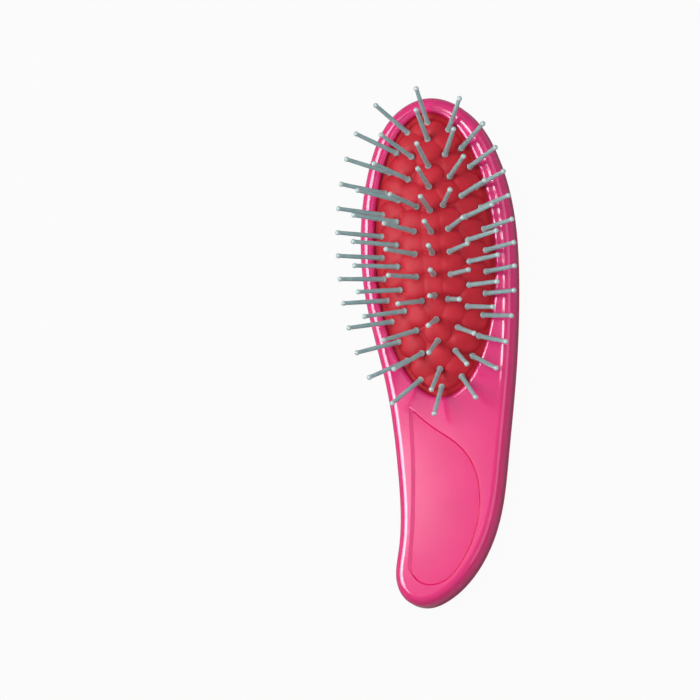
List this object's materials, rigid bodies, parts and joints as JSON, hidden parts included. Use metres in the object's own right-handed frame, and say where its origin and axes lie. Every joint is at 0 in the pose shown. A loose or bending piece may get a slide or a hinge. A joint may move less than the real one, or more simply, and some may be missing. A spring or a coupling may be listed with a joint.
{
  "type": "cushion pin brush",
  "caption": "Hand brush with a paisley-shaped moulded body and a domed rubber cushion that carries ball-ended pins.",
  "frame": {"origin": "on the flat of the back, straight behind the middle of the cushion", "axes": "+Z out of the flat back's far side, the way the pins point; +Y along the cushion's middle line to the head's tip; +X to the right as seen from the pin side with the head up"},
  "size_m": [0.0642, 0.1805, 0.0407],
  "materials": {
    "body": "polished",
    "tray": "plain",
    "cushion": "satin",
    "pins": "satin"
  },
  "bodies": {
    "handle": {"front_shell": "body", "back_shell": "body", "cushion_tray": "tray"},
    "pad": {"cushion": "cushion"},
    "row_01": {"pins_row_01": "pins"},
    "row_02": {"pins_row_02": "pins"},
    "row_03": {"pins_row_03": "pins"},
    "row_04": {"pins_row_04": "pins"},
    "row_05": {"pins_row_05": "pins"},
    "row_06": {"pins_row_06": "pins"},
    "row_07": {"pins_row_07": "pins"},
    "row_08": {"pins_row_08": "pins"},
    "row_09": {"pins_row_09": "pins"},
    "row_10": {"pins_row_10": "pins"},
    "row_11": {"pins_row_11": "pins"},
    "row_12": {"pins_row_12": "pins"},
    "row_13": {"pins_row_13": "pins"}
  },
  "joints": [
    {"name": "cushion_press", "type": "slide", "parent": "handle", "child": "pad", "axis": [0, 0, 1], "range_m": [-0.0012, 0], "stiffness_N_per_m": 2000, "deforming": ["cushion"]},
    {"name": "row_01_rock", "type": "hinge", "parent": "pad", "child": "row_01", "pos_m": [0, -0.0444, 0.01475], "axis": [1, 0, 0], "range_deg": [-8, 8], "stiffness_Nm_per_rad": 0.02},
    {"name": "row_02_rock", "type": "hinge", "parent": "pad", "child": "row_02", "pos_m": [0, -0.03787, 0.01557], "axis": [1, 0, 0], "range_deg": [-8, 8], "stiffness_Nm_per_rad": 0.02},
    {"name": "row_03_rock", "type": "hinge", "parent": "pad", "child": "row_03", "pos_m": [0, -0.03192, 0.01669], "axis": [1, 0, 0], "range_deg": [-8, 8], "stiffness_Nm_per_rad": 0.02},
    {"name": "row_04_rock", "type": "hinge", "parent": "pad", "child": "row_04", "pos_m": [0, -0.02297, 0.01757], "axis": [1, 0, 0], "range_deg": [-8, 8], "stiffness_Nm_per_rad": 0.02},
    {"name": "row_05_rock", "type": "hinge", "parent": "pad", "child": "row_05", "pos_m": [0, -0.01463, 0.01819], "axis": [1, 0, 0], "range_deg": [-8, 8], "stiffness_Nm_per_rad": 0.02},
    {"name": "row_06_rock", "type": "hinge", "parent": "pad", "child": "row_06", "pos_m": [0, -0.00657, 0.01839], "axis": [1, 0, 0], "range_deg": [-8, 8], "stiffness_Nm_per_rad": 0.02},
    {"name": "row_07_rock", "type": "hinge", "parent": "pad", "child": "row_07", "pos_m": [0, 0, 0.01845], "axis": [1, 0, 0], "range_deg": [-8, 8], "stiffness_Nm_per_rad": 0.02},
    {"name": "row_08_rock", "type": "hinge", "parent": "pad", "child": "row_08", "pos_m": [0, 0.00657, 0.01839], "axis": [1, 0, 0], "range_deg": [-8, 8], "stiffness_Nm_per_rad": 0.02},
    {"name": "row_09_rock", "type": "hinge", "parent": "pad", "child": "row_09", "pos_m": [0, 0.01463, 0.01819], "axis": [1, 0, 0], "range_deg": [-8, 8], "stiffness_Nm_per_rad": 0.02},
    {"name": "row_10_rock", "type": "hinge", "parent": "pad", "child": "row_10", "pos_m": [0, 0.02297, 0.01757], "axis": [1, 0, 0], "range_deg": [-8, 8], "stiffness_Nm_per_rad": 0.02},
    {"name": "row_11_rock", "type": "hinge", "parent": "pad", "child": "row_11", "pos_m": [0, 0.03192, 0.01669], "axis": [1, 0, 0], "range_deg": [-8, 8], "stiffness_Nm_per_rad": 0.02},
    {"name": "row_12_rock", "type": "hinge", "parent": "pad", "child": "row_12", "pos_m": [0, 0.03787, 0.01557], "axis": [1, 0, 0], "range_deg": [-8, 8], "stiffness_Nm_per_rad": 0.02},
    {"name": "row_13_rock", "type": "hinge", "parent": "pad", "child": "row_13", "pos_m": [0, 0.0444, 0.01475], "axis": [1, 0, 0], "range_deg": [-8, 8], "stiffness_Nm_per_rad": 0.02}
  ]
}
